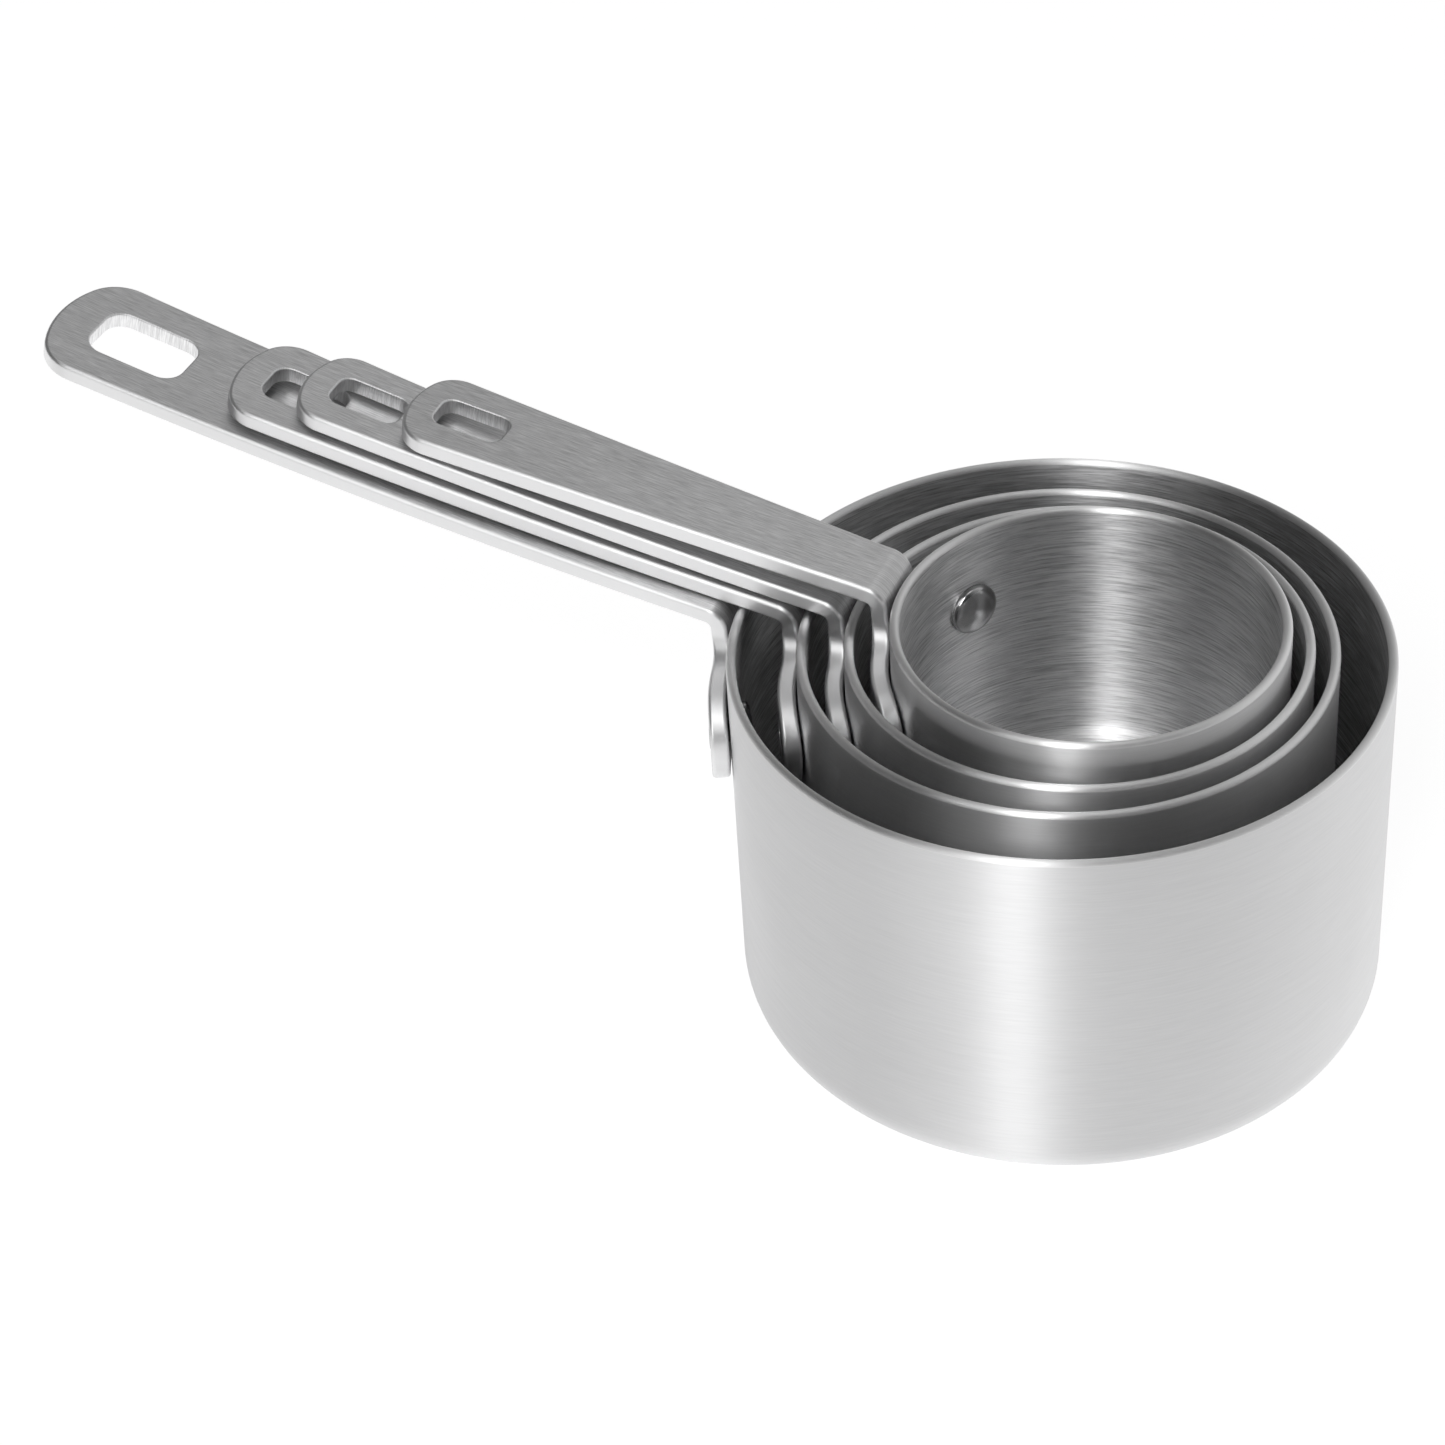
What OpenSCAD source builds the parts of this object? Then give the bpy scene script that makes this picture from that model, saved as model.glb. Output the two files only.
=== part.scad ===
// Nesting set of four measuring cups with riveted strap handles.
// Millimetres. +Z is up and the origin is the centre of the large cup's base,
// on the surface that the set stands on. The handles point towards -X.
// Every list below runs from the largest cup to the smallest.

/* [Cups] */
// Brimful capacity of each cup, in millilitres
capacity_ml = [250, 125, 80, 60]; // [40:5:300]
// Outer radius of each cup
cup_r = [41.0, 33.2, 28.7, 24.4]; // [20:0.1:50]
// Outer radius of the rounded corner between wall and floor
corner_r = [6.0, 5.0, 4.5, 4.0]; // [3:0.1:8]
// Thickness of the wall and the floor
wall = 1.2; // [0.8:0.1:1.6]

/* [Nesting] */
// How far each cup sits towards +X of the large cup
nest_x = [0, 0.9, 2.4, 3.9]; // [0:0.1:5]
// Height of the three larger rims above the large cup's rim
rim_step = [0, 0.8, 1.6]; // [0:0.1:3]
// Gap under the smallest cup, which stands on the floor of the next
stack_gap = 0.3; // [0.2:0.1:1]

/* [Handles] */
// Thickness of the strap
strap_t = 2.3; // [1.5:0.1:3]
// Upward slope of each grip where it leaves the wall, in degrees
grip_pitch = [10.1, 10.6, 10.7, 10.5]; // [5:0.1:15]
// Radius of the gentle upward bow of each grip
bow_r = [1000, 1130, 1250, 6000]; // [500:10:8000]
// Height of each grip's top face above its own rim, at the wall
grip_rise = [0.05, 0.1, 0.95, 1.0]; // [0:0.05:3]
// Length of each grip from the wall to its tip
grip_len = [99.2, 81.0, 77.0, 67.3]; // [50:0.1:120]
// Width of each strap at the bend
neck_w = [15.3, 10.7, 9.6, 9.4]; // [8:0.1:16]
// Greatest width of each grip, near its tip
tip_w = [19.5, 16.3, 14.1, 14.3]; // [12:0.1:22]
// Inside radius of the bend
bend_r = 0.8; // [0.4:0.1:2]

/* [Hanging slots] */
// Length of each slot
slot_len = [13.3, 10.6, 9.6, 9.4]; // [8:0.1:14]
// Width of each slot
slot_w = [8.8, 6.7, 5.6, 5.4]; // [5:0.1:9]
// Metal left between each slot and the tip
slot_margin = [5.8, 4.2, 4.0, 3.8]; // [3:0.1:6]

/* [Saddles and rivets] */
// Clearance between the saddle and the wall it wraps
saddle_gap = 0.25; // [0.1:0.05:0.5]
// Radius of the round end of each saddle
saddle_end_r = [6.2, 5.8, 5.5, 5.3]; // [5:0.1:7]
// Height of the rivets below each rim
rivet_drop = [12.0, 11.7, 11.5, 11.4]; // [10:0.1:14]
// Distance of each rivet from the handle's centre line, along the wall
rivet_arc = [14.5, 14.2, 13.9, 13.5]; // [12:0.1:16]
// Radius of the rivet's shank
shank_r = 1.75; // [1.2:0.05:2]
// Radius of the head inside the cup
head_r = 3.4; // [2.8:0.1:3.6]
// Height of the head inside the cup
head_h = 1.4; // [1:0.1:1.6]

/* [Hidden] */
$fn = 96;

steel = "#c9cacb";
strap_steel = "#bdbec0";
rivet_steel = "#a9aaac";

LEFT = 1;
RIGHT = -1;
arc_steps = 10;
head_edge_r = 0.9;
head_lift = 0.3;
flush_r = 3.0;
flush_depth = 1.0;
flush_inset = 0.1;
flare_r = 3.5;
// Turns round shapes about their own axes, away from the planes they meet.
seam_turn = 37;
// Shares of a width that give the radii of its slot and of its tip.
slot_corner = 0.3;
tip_round = 0.8;
tip_corner = 0.3;
// The side view of the grip runs on past the tip, and the plan trims it.
bow_spare = 1.05;
// Spare length by which a cut or a joined shape passes the faces it meets.
lap = 1;
// Size of the larger cutting shapes, and of the sector that holds a saddle's bar.
reach = 20;
sector_r = 4 * reach;
// The bar is a hair lower than its round ends, so that the two cross cleanly.
bar_trim = 0.06;
// Distance of a rounded corner's missing area from the square corner, over its radius.
corner_centre = (10 - 3 * PI) / (12 - 3 * PI);

function inner_r(i) = cup_r[i] - wall;
function inner_corner(i) = corner_r[i] - wall;
// The rounded corner takes this much of the volume, given back as extra depth.
function corner_loss(i) =
    2 * PI * (inner_r(i) - corner_centre * inner_corner(i))
    * (1 - PI / 4) * pow(inner_corner(i), 2);
function depth(i) =
    (capacity_ml[i] * 1000 + corner_loss(i)) / (PI * pow(inner_r(i), 2));
function height(i) = depth(i) + wall;
// The smallest cup stands in the third one; the others hang from their handles.
function base_z(i) =
    i == 3 ? base_z(2) + wall + stack_gap : height(0) + rim_step[i] - height(i);
function rim_z(i) = base_z(i) + height(i);
function saddle_in(i) = cup_r[i] + saddle_gap;
function saddle_out(i) = saddle_in(i) + strap_t;
function rivet_angle(i) = rivet_arc[i] / cup_r[i] * 180 / PI;
function bar_half(i) = saddle_end_r[i] - bar_trim;
function rivet_z(i) = rim_z(i) - rivet_drop[i];
// The bend's axis runs along Y, below the grip and outside the saddle.
function bend_x(i) = -(saddle_out(i) + bend_r);
function bend_z(i) =
    rim_z(i) + grip_rise[i]
    - (bend_r + strap_t + (cup_r[i] + bend_x(i)) * sin(grip_pitch[i])) / cos(grip_pitch[i]);
// The neck runs down into the top of the saddle's bar.
function neck_z(i) = rivet_z(i) + saddle_end_r[i] - lap;
// Distance along the grip, from the wall, at which the bend ends.
function grip_start(i) =
    -(cup_r[i] + bend_x(i)) * cos(grip_pitch[i])
    + (bend_z(i) - rim_z(i) - grip_rise[i]) * sin(grip_pitch[i]);

// Angle that the bowed grip turns through between the bend and its tip.
function bow_angle(i) = (grip_len[i] - grip_start(i)) / bow_r[i] * 180 / PI;

function arc_points(cx, cy, r, a0, a1) =
    [for (k = [0:arc_steps]) let (a = a0 + (a1 - a0) * k / arc_steps)
        [cx + r * cos(a), cy + r * sin(a)]];

// Places a child on the axis of a cup, at the cup's base.
module at_cup(i) {
    translate([nest_x[i], 0, base_z(i)]) children();
}

// Turns a child's +Z outwards along a rivet's axis, at the rivet's height.
module on_rivet(i, side) {
    translate([nest_x[i], 0, rivet_z(i)])
        rotate([0, 0, -side * rivet_angle(i)])
            rotate([0, -90, 0]) children();
}

// Half outline of a solid pot: straight side, rounded corner, open to the axis.
module pot_profile(r, h, corner) {
    square([r - corner, h]);
    translate([0, corner]) square([r, h - corner]);
    translate([r - corner, corner]) circle(corner);
}

// Straight-sided cup with a rounded rim and two rivet holes in its wall.
module cup(i) {
    color(steel) difference() {
        at_cup(i) rotate_extrude() {
            difference() {
                pot_profile(cup_r[i], height(i) - wall / 2, corner_r[i]);
                translate([0, wall]) pot_profile(inner_r(i), height(i), inner_corner(i));
            }
            translate([cup_r[i] - wall / 2, height(i) - wall / 2]) circle(wall / 2);
        }
        for (side = [LEFT, RIGHT])
            on_rivet(i, side)
                translate([0, 0, cup_r[i] - reach / 2]) cylinder(r = shank_r, h = reach);
    }
}

// Plan of the grip: it widens from the neck to a broad rounded tip.
module grip_plan(i) {
    tip_r = tip_w[i] * tip_round;
    corner = tip_w[i] * tip_corner;
    corner_y = tip_w[i] / 2 - corner;
    tip_x = grip_len[i] - tip_r;
    corner_x = tip_x + sqrt(pow(tip_r - corner, 2) - pow(corner_y, 2));
    meet = atan2(corner_y, corner_x - tip_x);
    difference() {
        polygon(concat(
            [[-reach, -neck_w[i] / 2], [grip_start(i) + strap_t, -neck_w[i] / 2]],
            arc_points(corner_x, -corner_y, corner, -90, -meet),
            arc_points(tip_x, 0, tip_r, -meet, meet),
            arc_points(corner_x, corner_y, corner, meet, 90),
            [[grip_start(i) + strap_t, neck_w[i] / 2], [-reach, neck_w[i] / 2]]
        ));
        translate([grip_len[i] - slot_margin[i] - slot_len[i], -slot_w[i] / 2])
            rounded_slot(slot_len[i], slot_w[i], slot_w[i] * slot_corner);
    }
}

module rounded_slot(length, width, r) {
    translate([r, 0]) square([length - 2 * r, width]);
    translate([0, r]) square([length, width - 2 * r]);
    for (x = [r, length - r], y = [r, width - r])
        translate([x, y]) circle(r);
}

// Side view of the whole strap: upright neck, bend, and bowed grip to past its tip.
module strap_side(i) {
    x = bend_x(i);
    z = bend_z(i);
    flat_angle = 90 - grip_pitch[i];
    bow_start = -90 - grip_pitch[i];
    bow_end = bow_start - bow_angle(i) * bow_spare;
    bow_out = bend_r + strap_t + bow_r[i];
    bow_x = x + bow_out * cos(flat_angle);
    bow_z = z + bow_out * sin(flat_angle);
    polygon(concat(
        [[-saddle_in(i), neck_z(i)]],
        arc_points(x, z, bend_r + strap_t, 0, flat_angle),
        arc_points(bow_x, bow_z, bow_r[i], bow_start, bow_end),
        arc_points(bow_x, bow_z, bow_r[i] + strap_t, bow_end, bow_start),
        arc_points(x, z, bend_r, flat_angle, 0),
        [[-saddle_out(i), neck_z(i)]]
    ));
}

// Bent strap, cut by a tall prism to the plan of its grip.
module strap(i) {
    intersection() {
        translate([nest_x[i], 0, 0]) rotate([90, 0, 0])
            linear_extrude(2 * tip_w[i], center = true) strap_side(i);
        translate([nest_x[i] - cup_r[i], 0, rim_z(i) + grip_rise[i]])
            rotate([0, grip_pitch[i] + bow_angle(i) / 2, 0]) rotate([0, 0, 180])
                linear_extrude(3 * reach, center = true) grip_plan(i);
    }
}

// Front view of the neck, flaring at its foot into the bar of the saddle.
module flare_front(i) {
    half = neck_w[i] / 2;
    bar_top = rivet_z(i) + bar_half(i);
    polygon(concat(
        [[-half, bend_z(i)], [half, bend_z(i)]],
        arc_points(half + flare_r, bar_top + flare_r, flare_r, 180, 270),
        [[half + flare_r, rivet_z(i)], [-half - flare_r, rivet_z(i)]],
        arc_points(-half - flare_r, bar_top + flare_r, flare_r, 270, 360)
    ));
}

// Sector between the two rivets, as tall as the saddle's bar.
module bar_sector(i) {
    side_x = sector_r * cos(rivet_angle(i));
    side_y = sector_r * sin(rivet_angle(i));
    translate([nest_x[i], 0, rivet_z(i) - bar_half(i)])
        linear_extrude(2 * bar_half(i))
            polygon([[0, 0], [-side_x, side_y], [-side_x, -side_y]]);
}

// Keeps the part of a child that lies in the shell round the cup's wall.
module wrapped(i) {
    intersection() {
        at_cup(i) difference() {
            cylinder(r = saddle_out(i), h = height(i));
            translate([0, 0, -lap]) cylinder(r = saddle_in(i), h = height(i) + 2 * lap);
        }
        children();
    }
}

// Saddle wrapped round the wall, with a round end about each rivet.
module saddle(i) {
    difference() {
        union() {
            wrapped(i) translate([nest_x[i], 0, 0]) rotate([90, 0, -90])
                linear_extrude(saddle_out(i) + lap) flare_front(i);
            wrapped(i) bar_sector(i);
            for (side = [LEFT, RIGHT])
                wrapped(i) on_rivet(i, side) rotate(seam_turn)
                    translate([0, 0, cup_r[i] - lap])
                        cylinder(r = saddle_end_r[i], h = strap_t + 3 * lap);
        }
        for (side = [LEFT, RIGHT]) on_rivet(i, side) rotate(seam_turn) rivet_hole(i);
    }
}

// Straight hole through the saddle, countersunk for the flush outer head.
module rivet_hole(i) {
    foot = saddle_in(i) - lap;
    face = saddle_out(i);
    rotate_extrude() polygon([
        [0, foot], [shank_r, foot], [shank_r, face - flush_depth],
        [flush_r, face], [flush_r, face + lap], [0, face + lap]
    ]);
}

// Handle: one bent strap of grip, bend, neck and saddle.
module handle(i) {
    color(strap_steel) {
        strap(i);
        saddle(i);
    }
}

// Rivet: round-edged head inside the cup, shank, flush countersunk head outside.
module rivet(i, side) {
    base = inner_r(i) - head_lift;
    top = base - head_h;
    face = saddle_out(i) - flush_inset;
    color(rivet_steel) on_rivet(i, side) rotate_extrude() {
        polygon([
            [0, top], [head_r - head_edge_r, top], [head_r - head_edge_r, top + head_edge_r],
            [head_r, top + head_edge_r], [head_r, base], [shank_r, base],
            [shank_r, face - flush_depth], [flush_r - flush_inset, face], [0, face]
        ]);
        translate([head_r - head_edge_r, top + head_edge_r]) circle(head_edge_r);
    }
}

cup(0);  // cup_250
handle(0);  // handle_250
rivet(0, LEFT);  // rivet_250_left
rivet(0, RIGHT);  // rivet_250_right
cup(1);  // cup_125
handle(1);  // handle_125
rivet(1, LEFT);  // rivet_125_left
rivet(1, RIGHT);  // rivet_125_right
cup(2);  // cup_80
handle(2);  // handle_80
rivet(2, LEFT);  // rivet_80_left
rivet(2, RIGHT);  // rivet_80_right
cup(3);  // cup_60
handle(3);  // handle_60
rivet(3, LEFT);  // rivet_60_left
rivet(3, RIGHT);  // rivet_60_right
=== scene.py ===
"""Nesting measuring cups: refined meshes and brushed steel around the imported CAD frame.

The scene is in metres in the frame of the CAD model, with +Z up and the handles towards -X.
Meshes are drawn in millimetres, and MM turns them into metres.
"""

import itertools
import math

import bpy
import numpy as np
from mathutils import Matrix, Vector
from mathutils.geometry import delaunay_2d_cdt


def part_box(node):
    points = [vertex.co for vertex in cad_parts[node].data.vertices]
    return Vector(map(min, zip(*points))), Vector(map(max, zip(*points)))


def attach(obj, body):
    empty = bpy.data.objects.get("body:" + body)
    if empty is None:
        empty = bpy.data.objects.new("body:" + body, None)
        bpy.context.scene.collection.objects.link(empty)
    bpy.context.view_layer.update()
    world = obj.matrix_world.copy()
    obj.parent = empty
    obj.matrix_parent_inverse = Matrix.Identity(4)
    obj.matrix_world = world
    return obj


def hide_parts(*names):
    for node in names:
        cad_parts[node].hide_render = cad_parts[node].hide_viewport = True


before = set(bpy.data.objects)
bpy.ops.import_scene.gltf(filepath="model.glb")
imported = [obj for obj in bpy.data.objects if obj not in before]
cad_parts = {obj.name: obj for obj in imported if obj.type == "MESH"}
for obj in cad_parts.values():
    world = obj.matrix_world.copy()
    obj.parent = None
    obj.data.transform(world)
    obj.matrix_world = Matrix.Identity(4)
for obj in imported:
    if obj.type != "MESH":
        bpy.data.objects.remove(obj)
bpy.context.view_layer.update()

MM = 0.001

# Sheet and strap, as in the CAD model.
WALL = 1.2
STRAP_T = 2.3
BEND_R = 0.8
SADDLE_GAP = 0.25
FLARE_R = 3.5
FLARE_GAP = 0.1
# Shares of a width that give the radii of a strap's tip and of its slot.
TIP_ROUND = 0.8
TIP_CORNER = 0.3
SLOT_CORNER = 0.3
# Rounding of a strap's outer edges and of its slot's edges.
EDGE_R = 0.5
SLOT_EDGE_R = 0.28
# The edge weight grows this much faster than the rounding turns.
EDGE_GAIN = 1.6
# Rivet, with its low dome inside the cup and its flush disc on the saddle.
SHANK_R = 1.75
HEAD_R = 3.4
HEAD_RISE = 1.55
HEAD_EDGE = 0.75
HEAD_SINK = 0.1
CROWN_R = 2.2
CROWN_DIP = 0.3
DISC_R = 2.75
DISC_BEVEL = 0.2
DISC_DEPTH = 0.9
DISC_SINK = 0.05
DISC_SHOULDER = 0.04
DISC_RISE = 0.06
# Fineness of the meshes.
CUP_SEGMENTS = 256
RIVET_SEGMENTS = 64
HUB_R = 4
GRID_U = 1.6
GRID_Y = 1.1
GRID_REACH = 30.3
GRID_GAP = 0.5
UV_PER_MM = 0.01

# One row for each cup, from the largest to the smallest, as in the CAD model. The outer steel
# has a brightness and a roughness, and the inner steel a brightness, lowered as painted shade in
# the cups that hold a smaller one. A slot has its length, its width and the metal left between it
# and the tip.
CUPS = [
    dict(ml=250, outer=(0.83, 0.44), inner_with_painted_shade=0.72, corner=6.0, pitch=10.1, bow=1000, rise=0.05,
         length=99.2, neck=15.3, tip=19.5, slot=(13.3, 8.8, 5.8), end_r=6.2, drop=12.0, arc=14.5),
    dict(ml=125, outer=(0.83, 0.38), inner_with_painted_shade=0.72, corner=5.0, pitch=10.6, bow=1130, rise=0.1,
         length=81.0, neck=10.7, tip=16.3, slot=(10.6, 6.7, 4.2), end_r=5.8, drop=11.7, arc=14.2),
    dict(ml=80, outer=(0.83, 0.38), inner_with_painted_shade=0.72, corner=4.5, pitch=10.7, bow=1250, rise=0.95,
         length=77.0, neck=9.6, tip=14.1, slot=(9.6, 5.6, 4.0), end_r=5.5, drop=11.5, arc=13.9),
    dict(ml=60, outer=(0.83, 0.38), inner_with_painted_shade=0.84, corner=4.0, pitch=10.5, bow=6000, rise=1.0,
         length=67.3, neck=9.4, tip=14.3, slot=(9.4, 5.4, 3.8), end_r=5.3, drop=11.4, arc=13.5),
]
for c in CUPS:
    low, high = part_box(f"cup_{c['ml']}")
    c["x"] = (low.x + high.x) / 2 / MM
    c["r"] = (high.x - low.x) / 2 / MM
    c["base"] = low.z / MM
    c["rim"] = high.z / MM

# ---------------------------------------------------------------- mesh helpers


def new_object(name, verts, faces, normals=None, uvs=None, **weights):
    """A smooth mesh object from millimetres, with its own normals, UVs and named vertex weights.

    uvs holds one pair for every corner of every face, in order.
    """
    mesh = bpy.data.meshes.new(name)
    mesh.from_pydata([tuple(v) for v in np.asarray(verts, float) * MM], [], [tuple(f) for f in faces])
    mesh.update()
    mesh.polygons.foreach_set("use_smooth", [True] * len(mesh.polygons))
    if uvs is not None:
        mesh.uv_layers.new(name="UVMap").data.foreach_set("uv", np.asarray(uvs, float).ravel())
    for key, values in weights.items():
        mesh.attributes.new(key, "FLOAT", "POINT").data.foreach_set("value", np.asarray(values, float))
    if normals is not None:
        mesh.normals_split_custom_set_from_vertices([tuple(n) for n in normals])
    obj = bpy.data.objects.new(name, mesh)
    bpy.context.scene.collection.objects.link(obj)
    return obj


def arc(cx, cy, r, start, end, steps):
    """Points of an arc, both ends included, with its angles in degrees."""
    return [(cx + r * math.cos(a), cy + r * math.sin(a))
            for a in np.radians(np.linspace(start, end, steps + 1))]


def line(p, q, step):
    """Points from p up to but not including q, about step apart."""
    n = max(1, round(math.dist(p, q) / step))
    return [(p[0] + (q[0] - p[0]) * k / n, p[1] + (q[1] - p[1]) * k / n) for k in range(n)]


def revolve(profile, segments):
    """Turns (radius, height) points about Z. A point at radius 0 becomes one vertex.

    Returns the vertices, the faces and the profile point of each vertex.
    """
    verts, faces, rows, source = [], [], [], []
    turn = np.linspace(0, 2 * math.pi, segments, endpoint=False)
    for k, (r, z) in enumerate(profile):
        start = len(verts)
        if r == 0:
            verts.append((0, 0, z))
            rows.append([start] * segments)
        else:
            verts += [(r * math.cos(t), r * math.sin(t), z) for t in turn]
            rows.append(list(range(start, start + segments)))
        source += [k] * (len(verts) - start)
    for a, b in itertools.pairwise(rows):
        for k in range(segments):
            j = (k + 1) % segments
            quad = [a[k], a[j], b[j], b[k]]
            faces.append([v for i, v in enumerate(quad) if v not in quad[:i]])
    return np.array(verts), faces, np.array(source)


# ---------------------------------------------------------------- cups


def cup_mesh(c):
    """Straight-sided pot with a rounded lip, a rounded corner and a flat floor."""
    r, corner, lip = c["r"], c["corner"], WALL / 2
    inner_r, inner_corner = r - WALL, corner - WALL
    lip_z = c["rim"] - c["base"] - lip
    pts = [(0, 0)] + [(q, 0) for q in np.linspace(HUB_R, r - corner, 5)]
    pts += arc(r - corner, corner, corner, -90, 0, 14)[1:]
    pts += [(r, z) for z in np.linspace(corner, lip_z, 6)[1:]]
    lip_start = len(pts) - 1
    pts += arc(r - lip, lip_z, lip, 0, 180, 14)[1:]
    lip_end = len(pts) - 1
    pts += [(inner_r, z) for z in np.linspace(lip_z, corner, 6)[1:]]
    pts += arc(inner_r - inner_corner, corner, inner_corner, 0, -90, 12)[1:]
    pts += [(q, WALL) for q in np.linspace(inner_r - inner_corner, HUB_R, 5)[1:]]
    pts += [(0, WALL)]
    verts, faces, source = revolve(pts, CUP_SEGMENTS)
    obj = new_object(f"steel_cup_{c['ml']}", verts + [c["x"], 0, c["base"]], faces,
                     edge=(source > lip_start) & (source < lip_end), inside=source >= lip_end)
    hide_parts(f"cup_{c['ml']}")
    return obj


# ---------------------------------------------------------------- handles


class Strap:
    """The flat pattern of one handle, and how it bends into place.

    u runs along the strap: below 0 down the neck, 0 at the foot of the bend, up to the tip.
    y runs across it, and d is the depth below the face that is on top of the grip.
    """

    def __init__(self, c):
        self.c = c
        self.pitch = math.radians(c["pitch"])
        self.inner_r = c["r"] + SADDLE_GAP
        self.outer_r = self.inner_r + STRAP_T
        self.middle_r = self.inner_r + STRAP_T / 2
        # The bend's axis, and where along the grip the bend ends, measured from the wall.
        top = c["rim"] + c["rise"]
        self.bend_x = -(self.outer_r + BEND_R)
        to_wall = c["r"] + self.bend_x
        self.bend_z = top - (
            BEND_R + STRAP_T + to_wall * math.sin(self.pitch)) / math.cos(self.pitch)
        grip_start = -to_wall * math.cos(self.pitch) + (self.bend_z - top) * math.sin(self.pitch)
        self.bend_length = (BEND_R + STRAP_T / 2) * (math.pi / 2 - self.pitch)
        # Adds to a distance from the wall to give u.
        self.shift = self.bend_length - grip_start
        self.rivet_z = c["rim"] - c["drop"]
        self.rivet_u = self.rivet_z - self.bend_z
        self.rivet_angle = c["arc"] / c["r"]
        self.rivet_y = self.rivet_angle * self.middle_r
        self.bar_top = self.rivet_u + c["end_r"]
        self.flare = min(FLARE_R, -self.bar_top - FLARE_GAP)

    def spine(self, u):
        """Top face points (x, z) and normals (x, z) for an array of u, seen from the side."""
        bow = self.c["bow"]
        turn = np.clip(u / self.bend_length, 0, 1) * (math.pi / 2 - self.pitch)
        normal_x, normal_z = np.cos(turn), np.sin(turn)
        x = self.bend_x + (BEND_R + STRAP_T) * normal_x
        z = self.bend_z + (BEND_R + STRAP_T) * normal_z + np.minimum(u, 0)
        grip = np.maximum(u - self.bend_length, 0)
        a = grip / bow
        ahead_x, ahead_z = -math.cos(self.pitch), math.sin(self.pitch)
        x = x + bow * (ahead_x * np.sin(a) + ahead_z * (1 - np.cos(a)))
        z = z + bow * (ahead_z * np.sin(a) - ahead_x * (1 - np.cos(a)))
        bowed_x = ahead_z * np.cos(a) - ahead_x * np.sin(a)
        bowed_z = -ahead_x * np.cos(a) - ahead_z * np.sin(a)
        return x, z, np.where(grip > 0, bowed_x, normal_x), np.where(grip > 0, bowed_z, normal_z)

    def place(self, u, y, d):
        """Bends pattern points into the part's frame: flat on the grip, wrapped on the saddle."""
        x, z, normal_x, normal_z = self.spine(u)
        flat = np.stack([x - d * normal_x, y, z - d * normal_z], -1)
        around = y / self.middle_r
        r = self.inner_r + d
        wrapped = np.stack([-r * np.cos(around), r * np.sin(around), z], -1)
        share = np.clip(u / self.bar_top, 0, 1)
        share = (share * share * (3 - 2 * share))[:, None]
        out = flat * (1 - share) + wrapped * share
        out[:, 0] += self.c["x"]
        return out

    def half_outline(self):
        """Outline from the middle of the tip to the middle of the saddle's lower edge.

        The last value of each arc is its number of steps, and of each line their length.
        """
        c, top, flare = self.c, self.bar_top, self.flare
        half_tip, half_neck = c["tip"] / 2, c["neck"] / 2
        tip_r, corner = c["tip"] * TIP_ROUND, c["tip"] * TIP_CORNER
        tip_x = c["length"] - tip_r
        corner_y = half_tip - corner
        corner_x = tip_x + math.sqrt((tip_r - corner) ** 2 - corner_y ** 2)
        meet = math.degrees(math.atan2(corner_y, corner_x - tip_x))
        pts = arc(tip_x + self.shift, 0, tip_r, 0, meet, 8)[:-1]
        pts += arc(corner_x + self.shift, corner_y, corner, meet, 90, 10)[:-1]
        foot = self.bend_length + STRAP_T
        pts += line((corner_x + self.shift, half_tip), (foot, half_neck), 2.5)
        pts += line((foot, half_neck), (self.bend_length, half_neck), 0.8)
        pts += line((self.bend_length, half_neck), (0, half_neck), 0.22)
        pts += line((0, half_neck), (top + flare, half_neck), 0.6)
        pts += arc(top + flare, half_neck + flare, flare, -90, -180, 10)[:-1]
        if half_neck + flare < self.rivet_y:
            pts += line((top, half_neck + flare), (top, self.rivet_y), 0.8)
        pts += arc(self.rivet_u, self.rivet_y, c["end_r"], 0, 180, 26)[:-1]
        bottom = self.rivet_u - c["end_r"]
        pts += line((bottom, self.rivet_y), (bottom, 0), 1.0)
        return pts

    def outline(self):
        """Closed outline of the strap, anticlockwise."""
        half = self.half_outline()
        return tidy_loop(half + [(u, -y) for u, y in half[::-1] if y > 1e-6])

    def slot(self):
        """Closed outline of the hanging slot, anticlockwise."""
        length, width, margin = self.c["slot"]
        r = width * SLOT_CORNER
        right = self.c["length"] - margin + self.shift - r
        left = right - length + 2 * r
        side = width / 2
        pts = arc(right, side - r, r, 0, 90, 10)
        pts += line((right, side), (left, side), 1.2)[1:]
        pts += arc(left, side - r, r, 90, 180, 10)
        pts += arc(left, r - side, r, 180, 270, 10)
        pts += line((left, -side), (right, -side), 1.2)[1:]
        pts += arc(right, r - side, r, 270, 360, 10)
        return tidy_loop(pts)


def tidy_loop(pts):
    """Drops points that repeat the one before."""
    return np.array([p for i, p in enumerate(pts) if math.dist(p, pts[i - 1]) > 1e-3])


def loop_normals(loop):
    """Unit normals on the right of a closed loop: outwards on an anticlockwise one."""
    ahead = np.roll(loop, -1, 0) - loop
    behind = loop - np.roll(loop, 1, 0)
    t = ahead / np.linalg.norm(ahead, axis=1)[:, None] + behind / np.linalg.norm(behind, axis=1)[:, None]
    t /= np.linalg.norm(t, axis=1)[:, None]
    return np.stack([t[:, 1], -t[:, 0]], -1)


def inside(points, loop):
    """Which points lie inside a closed loop."""
    x, y = points[:, 0][:, None], points[:, 1][:, None]
    a, b = loop, np.roll(loop, -1, 0)
    crosses = (a[:, 1] > y) != (b[:, 1] > y)
    with np.errstate(divide="ignore", invalid="ignore"):
        at = a[:, 0] + (y - a[:, 1]) * (b[:, 0] - a[:, 0]) / (b[:, 1] - a[:, 1])
    return (np.count_nonzero(crosses & (x < at), axis=1) % 2) == 1


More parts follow.
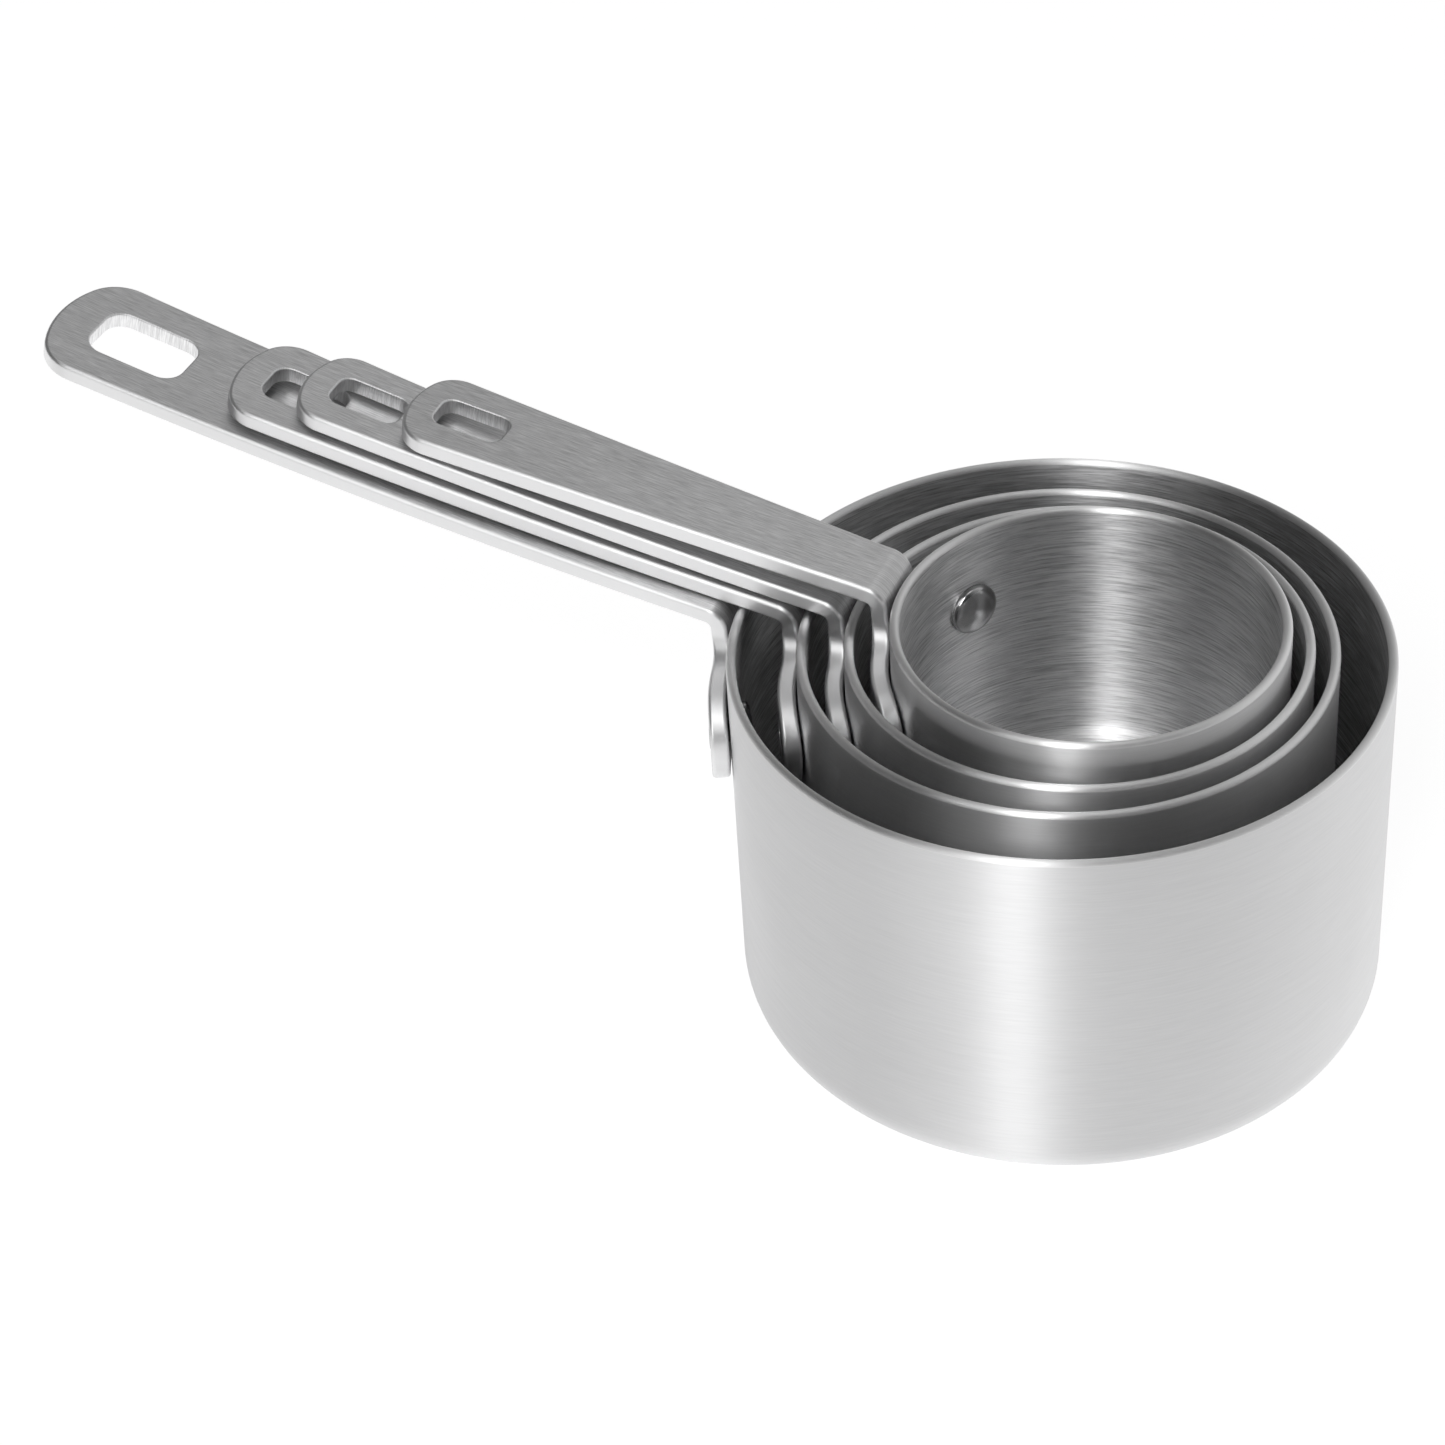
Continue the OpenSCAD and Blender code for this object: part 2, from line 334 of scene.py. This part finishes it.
def clear_of(points, loop):
    """Which points are at least GRID_GAP from a loop's own points."""
    gaps = np.linalg.norm(points[:, None, :] - loop[None, :, :], axis=2)
    return gaps.min(1) >= GRID_GAP


def edge_rings(soft):
    """Rounded edge of a strap, from its top face to its underside.

    Each ring has its inset, its depth, the sideways and upward parts of its normal, and the
    length run over the edge so far.
    """
    upper = [(soft * (1 - math.sin(a)), soft * (1 - math.cos(a)), math.sin(a), math.cos(a), soft * a)
             for a in np.radians(np.linspace(0, 90, 6))]
    length = STRAP_T - 2 * soft + soft * math.pi
    return upper + [(inset, STRAP_T - depth, side, -up, length - run)
                    for inset, depth, side, up, run in reversed(upper)]


class Pattern:
    """The mesh of a strap before it is bent.

    A vertex has a place (u, y, d), a normal in those directions, and the weights edge, for the
    rounded edges, and punched, for the slot's wall. Every corner of a face has a UV pair in
    millimetres.
    """

    def __init__(self):
        self.places, self.normals, self.edge, self.punched = [], [], [], []
        self.faces, self.corners = [], []

    def add_face(self, face, uv, flip):
        order = -1 if flip else 1
        self.faces.append(face[::order])
        self.corners += uv[::order]

    def add_wall(self, loop, soft, slot):
        """Rounded wall along a loop, with the metal around it for the slot and inside it if not.

        The outer wall's UVs run on from the flat pattern, so its grain runs along it. The
        slot's wall has grain that runs through the strap. Returns the first vertices of the
        top and bottom rings.
        """
        count = len(loop)
        away = loop_normals(loop) * (-1 if slot else 1)
        travel = np.append(0, np.cumsum(np.linalg.norm(np.roll(loop, -1, 0) - loop, axis=1)))
        rings = edge_rings(soft)
        first = []
        for inset, depth, side, up, _ in rings:
            first.append(len(self.places))
            self.places += [(u, y, depth) for u, y in loop - away * inset]
            self.normals += [(n[0] * side, n[1] * side, up) for n in away]
            self.edge += [min(1.0, side * EDGE_GAIN)] * count
            self.punched += [side if slot else 0.0] * count
        runs = [ring[-1] for ring in rings]
        for (a, run_a), (b, run_b) in itertools.pairwise(zip(first, runs)):
            for k in range(count):
                j = (k + 1) % count
                spots = [(k, run_a), (k, run_b), (k + 1, run_b), (k + 1, run_a)]
                if slot:
                    uv = [(run, travel[i]) for i, run in spots]
                else:
                    uv = [loop[i % count] + away[i % count] * (run - soft) for i, run in spots]
                self.add_face([a + k, b + k, b + j, a + j], uv, not slot)
        return first[0], first[-1]

    def add_flat(self, depth, up, points, tris, rims, grid):
        """Flat face at one depth, between the rings that start at the vertices in rims."""
        base = len(self.places)
        self.places += [(u, y, depth) for u, y in grid]
        self.normals += [(0, 0, up)] * len(grid)
        self.edge += [0.0] * len(grid)
        self.punched += [0.0] * len(grid)
        vertex = np.concatenate([start + np.arange(count) for start, count in rims]
                                + [base + np.arange(len(grid))])
        for t in tris:
            self.add_face([int(v) for v in vertex[t]], list(points[t]), up > 0)


def grid_between(strap, outer, slot):
    """Points of a flat face between its loops, closer together where the strap bends."""
    us = np.concatenate([
        np.arange(outer[:, 0].min() + GRID_GAP, -0.2, GRID_U / 2),
        np.arange(0, strap.bend_length + 0.01, strap.bend_length / 14),
        np.arange(strap.bend_length + GRID_U / 2, outer[:, 0].max(), GRID_U),
    ])
    grid = np.array([(u, y) for u in us for y in np.arange(-GRID_REACH, GRID_REACH + 0.1, GRID_Y)])
    keep = inside(grid, outer) & ~inside(grid, slot) & clear_of(grid, outer) & clear_of(grid, slot)
    return grid[keep]


def triangles(points, outer, slot):
    """Anticlockwise triangles over points that begin with two loops, between those loops."""
    n, m = len(outer), len(slot)
    rims = [(k, (k + 1) % n) for k in range(n)] + [(n + k, n + (k + 1) % m) for k in range(m)]
    _, _, tris, origin, _, _ = delaunay_2d_cdt([Vector(p) for p in points], rims, [], 0, 1e-7)
    tris = np.array([[origin[v][0] for v in t] for t in tris])
    middle = points[tris].mean(1)
    return tris[inside(middle, outer) & ~inside(middle, slot)]


def bent(strap, places, normals):
    """Vertices and normals of a flat pattern once the strap is bent."""
    u, y, d = places.T
    nudge = 1e-3
    ways = [strap.place(u + nudge, y, d) - strap.place(u - nudge, y, d),
            strap.place(u, y + nudge, d) - strap.place(u, y - nudge, d),
            strap.place(u, y, d - nudge) - strap.place(u, y, d + nudge)]
    turned = sum(normals[:, k:k + 1] * way / np.linalg.norm(way, axis=1)[:, None]
                 for k, way in enumerate(ways))
    return strap.place(u, y, d), turned / np.linalg.norm(turned, axis=1)[:, None]


def strap_mesh(c, strap):
    """One bent strap with rounded edges all round, its slot included."""
    pattern = Pattern()
    loops = [(strap.outline(), EDGE_R, False), (strap.slot(), SLOT_EDGE_R, True)]
    rings = [pattern.add_wall(*loop) for loop in loops]
    outer, slot = (loop - loop_normals(loop) * soft * (-1 if hole else 1)
                   for loop, soft, hole in loops)
    grid = grid_between(strap, outer, slot)
    points = np.vstack([outer, slot, grid])
    tris = triangles(points, outer, slot)
    for depth, up, end in ((0.0, 1, 0), (STRAP_T, -1, 1)):
        rims = [(ring[end], len(loop)) for ring, loop in zip(rings, (outer, slot))]
        pattern.add_flat(depth, up, points, tris, rims, grid)
    verts, normals = bent(strap, np.array(pattern.places), np.array(pattern.normals))
    obj = new_object(f"steel_handle_{c['ml']}", verts, pattern.faces, normals,
                     np.array(pattern.corners) * UV_PER_MM, edge=pattern.edge, punched=pattern.punched)
    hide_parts(f"handle_{c['ml']}")
    return obj


# ---------------------------------------------------------------- rivets


def rivet_mesh(c, strap, side):
    """Low domed head inside the cup, shank, and a flush disc on the saddle."""
    wall_r, crown_top = c["r"] - WALL, c["r"] - WALL - HEAD_RISE
    face = strap.outer_r
    pts = [(q, crown_top + CROWN_DIP * (q / CROWN_R) ** 2) for q in np.linspace(0, CROWN_R, 6)]
    pts += [(CROWN_R + (HEAD_R - CROWN_R) * math.sin(a),
             crown_top + CROWN_DIP + HEAD_EDGE * (1 - math.cos(a)))
            for a in np.radians(np.linspace(0, 90, 9))[1:]]
    pts += [(HEAD_R, wall_r + HEAD_SINK), (SHANK_R, wall_r + HEAD_SINK), (SHANK_R, face - DISC_DEPTH)]
    pts += [(DISC_R, face - DISC_SINK), (DISC_R - DISC_BEVEL, face + DISC_SHOULDER)]
    pts += [(DISC_R - 2 * DISC_BEVEL, face + DISC_RISE), (0, face + DISC_RISE)]
    verts, faces, _ = revolve(pts, RIVET_SEGMENTS)
    turn = side * strap.rivet_angle
    axes = np.array([(0, 0, 1),
                     (math.sin(turn), math.cos(turn), 0),
                     (-math.cos(turn), math.sin(turn), 0)])
    word = "left" if side > 0 else "right"
    obj = new_object(f"steel_rivet_{c['ml']}_{word}", verts @ axes + [c["x"], 0, strap.rivet_z], faces)
    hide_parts(f"rivet_{c['ml']}_{word}")
    return obj


# ---------------------------------------------------------------- materials


class Wiring:
    """Small helper that adds and links the nodes of a tree."""

    def __init__(self, tree):
        self.tree = tree

    def add(self, kind, **values):
        """A new node. A value named in_X goes to input X, and any other to a property."""
        node = self.tree.nodes.new(kind)
        for key, value in values.items():
            if key.startswith("in_"):
                slot = key[3:]
                node.inputs[int(slot) if slot.isdigit() else slot].default_value = value
            else:
                setattr(node, key, value)
        return node

    def link(self, a, b):
        self.tree.links.new(a, b)

    def math(self, operation, *operands):
        """The result of a math node on one or two sockets or numbers."""
        node = self.add("ShaderNodeMath", operation=operation)
        for socket, operand in zip(node.inputs, operands):
            if isinstance(operand, (int, float)):
                socket.default_value = operand
            else:
                self.link(operand, socket)
        return node.outputs[0]

    def product(self, *operands):
        """The product of two or more sockets or numbers."""
        total = operands[0]
        for operand in operands[1:]:
            total = self.math("MULTIPLY", total, operand)
        return total

    def noise(self, vector, scale, detail, roughness):
        node = self.add("ShaderNodeTexNoise", in_Scale=scale, in_Detail=detail, in_Roughness=roughness)
        self.link(vector, node.inputs["Vector"])
        return node.outputs["Fac"]

    def spread(self, value, low, high, to_low, to_high):
        """Maps low..high to to_low..to_high, and holds the ends beyond them."""
        node = self.add("ShaderNodeMapRange", in_1=low, in_2=high, in_3=to_low, in_4=to_high)
        self.link(value, node.inputs[0])
        return node.outputs[0]

    def weight(self, name):
        """A named vertex weight of the mesh, or 0 where it has none."""
        return self.add("ShaderNodeAttribute", attribute_name=name).outputs["Fac"]

    def split(self, vector):
        """The three components of a vector socket."""
        node = self.add("ShaderNodeSeparateXYZ")
        self.link(vector, node.inputs[0])
        return node.outputs

    def join(self, *parts):
        """A vector socket from the sockets of its components."""
        node = self.add("ShaderNodeCombineXYZ")
        for part, socket in zip(parts, node.inputs):
            self.link(part, socket)
        return node.outputs[0]

    def place(self):
        """Place on the object, in metres."""
        return self.add("ShaderNodeTexCoord").outputs["Object"]


class Surface(Wiring):
    """The nodes of a new material with one shader."""

    def __init__(self, name):
        self.mat = bpy.data.materials.new(name)
        self.mat.use_nodes = True
        super().__init__(self.mat.node_tree)
        self.shader = self.tree.nodes["Principled BSDF"]


# Grain waves to a metre of steel, or to a unit of UV, along the brushing and across it.
CUP_GRAIN = (180.0, 4200.0)
STRAP_GRAIN = (34.0, 520.0)
RIVET_GRAIN = 2600.0
# Blue is a little stronger than red and green in the steel's colour.
NEUTRAL = (1.0, 1.0, 1.005)
# How strongly the grain changes the brightness and the roughness.
GRAIN_SHADE = 2.1
GRAIN_SATIN = 0.35
RELIEF = 0.00002
# What a rounded edge does to the brightness, as a painted highlight, and to the roughness.
EDGE_PAINTED_HIGHLIGHT = 1.22
EDGE_SATIN = 1.1


def steel(name, grain, tangent, anisotropy, outer, inner_with_painted_shade=None):
    """Brushed steel. grain(nodes) gives the vector that is stretched along the brushing.

    The outer and the inner tuple each hold brightness, roughness and grain strength; the inner one is
    for the faces whose inside weight is 1, and a lower inner brightness is painted shade. Rounded
    edges are brightened as a painted highlight. The grain fades out on edges, but not on punched ones.
    """
    n = Surface(name)
    vector = grain(n)
    fine = n.noise(vector, 1.0, 4.0, 0.65)
    broad = n.noise(vector, 0.2, 2.0, 0.5)
    cloud = n.noise(n.place(), 38.0, 2.0, 0.5)
    edge = n.weight("edge")
    within = n.weight("inside")
    # The inside faces take the inner brightness, which is painted shade where it is lower.
    tone_and_painted_shade, satin, depth = (n.spread(within, 0, 1, a, b) for a, b in zip(outer, inner_with_painted_shade or outer))
    brushed = n.math("SUBTRACT", n.math("ADD", 1.0, n.weight("punched")), edge)
    depth = n.product(depth, brushed)
    streak = n.math("ADD", n.product(fine, 0.85), n.product(broad, 0.15))
    streak = n.product(n.math("SUBTRACT", streak, 0.5), depth)
    mottle_and_painted_highlight = n.math("ADD", n.product(streak, GRAIN_SHADE), n.spread(cloud, 0.3, 0.7, 0.975, 1.02))
    # Rounded edges and lips are brightened here: a painted highlight on top of the grain and mottle.
    mottle_and_painted_highlight = n.product(mottle_and_painted_highlight, n.spread(edge, 0, 1, 1.0, EDGE_PAINTED_HIGHLIGHT))
    colour = n.add("ShaderNodeCombineColor")
    for tint, channel in zip(NEUTRAL, colour.inputs):
        n.link(n.product(mottle_and_painted_highlight, tone_and_painted_shade, tint), channel)
    n.link(colour.outputs[0], n.shader.inputs["Base Color"])
    satin = n.product(satin, n.spread(edge, 0, 1, 1.0, EDGE_SATIN))
    n.link(n.math("ADD", n.product(streak, GRAIN_SATIN), satin), n.shader.inputs["Roughness"])
    relief = n.add("ShaderNodeBump", in_Strength=1.0, in_Distance=RELIEF)
    n.link(n.product(fine, depth), relief.inputs["Height"])
    n.link(relief.outputs[0], n.shader.inputs["Normal"])
    n.link(n.add("ShaderNodeTangent", **tangent).outputs[0], n.shader.inputs["Tangent"])
    n.shader.inputs["Metallic"].default_value = 1.0
    n.shader.inputs["Anisotropic"].default_value = anisotropy
    n.shader.inputs["Anisotropic Rotation"].default_value = 0.25
    return n.mat


def around(c):
    """Grain that runs round the cup's axis, on the wall and on the floor alike."""

    def grain(n):
        x, y, z = n.split(n.place())
        x = n.math("SUBTRACT", x, c["x"] * MM)
        r = n.math("SQRT", n.math("ADD", n.product(x, x), n.product(y, y)))
        across = n.math("ADD", z, r)
        return n.join(n.product(x, CUP_GRAIN[0]), n.product(y, CUP_GRAIN[0]),
                      n.product(across, CUP_GRAIN[1]))

    return grain


def along(n):
    """Grain that runs along the first UV axis."""
    u, v, _ = n.split(n.add("ShaderNodeUVMap", uv_map="UVMap").outputs[0])
    return n.join(n.product(u, STRAP_GRAIN[0]), n.product(v, STRAP_GRAIN[1]))


def speckle(n):
    """Fine even grain."""
    scale = n.add("ShaderNodeVectorMath", operation="SCALE", in_Scale=RIVET_GRAIN)
    n.link(n.place(), scale.inputs[0])
    return scale.outputs[0]


RADIAL = dict(direction_type="RADIAL", axis="Z")
LENGTHWISE = dict(direction_type="UV_MAP", uv_map="UVMap")
strap_steel = steel("strap_steel", along, LENGTHWISE, 0.65, (0.69, 0.42, 0.7))
# The rivet's brightness is its steel's tone, lowered a little as painted shade for the dark shading
# round its head.
rivet_steel = steel("rivet_steel", speckle, RADIAL, 0.0, (0.54, 0.17, 0.1))

for c in CUPS:
    strap = Strap(c)
    cup_steel = steel(f"cup_steel_{c['ml']}", around(c), RADIAL, 0.94,
                      (*c["outer"], 0.08), (c["inner_with_painted_shade"], 0.38, 1.0))
    pieces = [(cup_mesh(c), cup_steel, "cup_steel"),
              (strap_mesh(c, strap), strap_steel, "strap_steel")]
    pieces += [(rivet_mesh(c, strap, side), rivet_steel, "rivet_steel") for side in (1, -1)]
    for piece, material, slot in pieces:
        piece.data.materials.append(material)
        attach(piece, f"set_{c['ml']}")

# ---------------------------------------------------------------- floor, light, camera

FLOOR_REACH = 6
FLOOR_Z = -0.0002
corners = [(-1, -1), (1, -1), (1, 1), (-1, 1)]
floor_mesh = bpy.data.meshes.new("floor")
floor_mesh.from_pydata([(x * FLOOR_REACH, y * FLOOR_REACH, 0) for x, y in corners], [], [(0, 1, 2, 3)])
floor = bpy.data.objects.new("floor", floor_mesh)
bpy.context.scene.collection.objects.link(floor)
floor.location.z = FLOOR_Z
white = Surface("floor_white")
white.shader.inputs["Base Color"].default_value = (0.3, 0.3, 0.3, 1)
white.shader.inputs["Roughness"].default_value = 0.9
white.shader.inputs["Emission Color"].default_value = (1, 1, 1, 1)
white.shader.inputs["Emission Strength"].default_value = 0.86
floor.data.materials.append(white.mat)

world = bpy.data.worlds.new("studio")
bpy.context.scene.world = world
world.use_nodes = True
sky = Wiring(world.node_tree)
toward_x, toward_y, toward_z = sky.split(sky.add("ShaderNodeTexCoord").outputs["Generated"])
# A pale horizon, a nearly dark ceiling in front, a grey one behind that brightens to +X, and a
# bright spot straight overhead.
behind = sky.spread(toward_x, -0.28, 0.02, 0.20, 0.56)
ceiling = sky.product(behind, sky.spread(toward_y, -0.4, 0.45, 0.1, 1.0))
horizon = sky.spread(toward_z, 0.0, 0.08, 1.0, 0.0)
overhead = sky.spread(toward_z, 0.94, 1.0, 0.0, 1.0)
glow = sky.math("ADD", ceiling, sky.product(horizon, sky.math("SUBTRACT", 1.0, ceiling)))
background = sky.tree.nodes["Background"]
background.inputs["Color"].default_value = (1, 1, 1, 1)
sky.link(sky.math("ADD", glow, overhead), background.inputs["Strength"])


OBJECT_MIDDLE = Vector((0, 0, 0.03))
LIGHT_DISTANCE = 1.3


def direction(azimuth, elevation):
    """Unit vector at an azimuth from +X and a height above the horizon, in degrees."""
    a, e = math.radians(azimuth), math.radians(elevation)
    return Vector((math.cos(a) * math.cos(e), math.sin(a) * math.cos(e), math.sin(e)))


def softbox(name, azimuth, elevation, size, power):
    """Area light that faces the middle of the object."""
    light = bpy.data.lights.new(name, "AREA")
    light.shape = "RECTANGLE"
    light.size, light.size_y = size
    light.energy = power
    obj = bpy.data.objects.new(name, light)
    bpy.context.scene.collection.objects.link(obj)
    away = direction(azimuth, elevation)
    obj.location = OBJECT_MIDDLE + away * LIGHT_DISTANCE
    obj.rotation_euler = away.to_track_quat("Z", "Y").to_euler()
    obj.visible_camera = False


softbox("key", -86, 42, (0.28, 0.9), 5.2)
softbox("fill", -112, 46, (0.5, 0.5), 1.3)

# The photograph's view: where its camera stands, and how it is turned.
CAMERA_PLACE = Vector((117.4, -347.6, 331.2)) * MM
VIEW_AZIMUTH = 24.76
VIEW_ELEVATION = 37.57
VIEW_ROLL = math.radians(-3.71)
SENSOR = 36.0
# The focal length as a multiple of the picture's width.
FOCAL_RATIO = 2.598
camera_data = bpy.data.cameras.new("camera")
camera = bpy.data.objects.new("camera", camera_data)
bpy.context.scene.collection.objects.link(camera)
back = direction(VIEW_AZIMUTH - 90, VIEW_ELEVATION)
right = direction(VIEW_AZIMUTH, 0)
up = back.cross(right)
turn = Matrix((right * math.cos(VIEW_ROLL) + up * math.sin(VIEW_ROLL),
               up * math.cos(VIEW_ROLL) - right * math.sin(VIEW_ROLL),
               back)).transposed()
camera.matrix_world = Matrix.Translation(CAMERA_PLACE) @ turn.to_4x4()
camera_data.sensor_width = SENSOR
camera_data.lens = FOCAL_RATIO * SENSOR
camera_data.shift_x = -0.0138
camera_data.shift_y = -0.0337
camera_data.clip_start = 0.01
camera_data.clip_end = 50
bpy.context.scene.camera = camera
bpy.context.scene.view_settings.view_transform = "Standard"
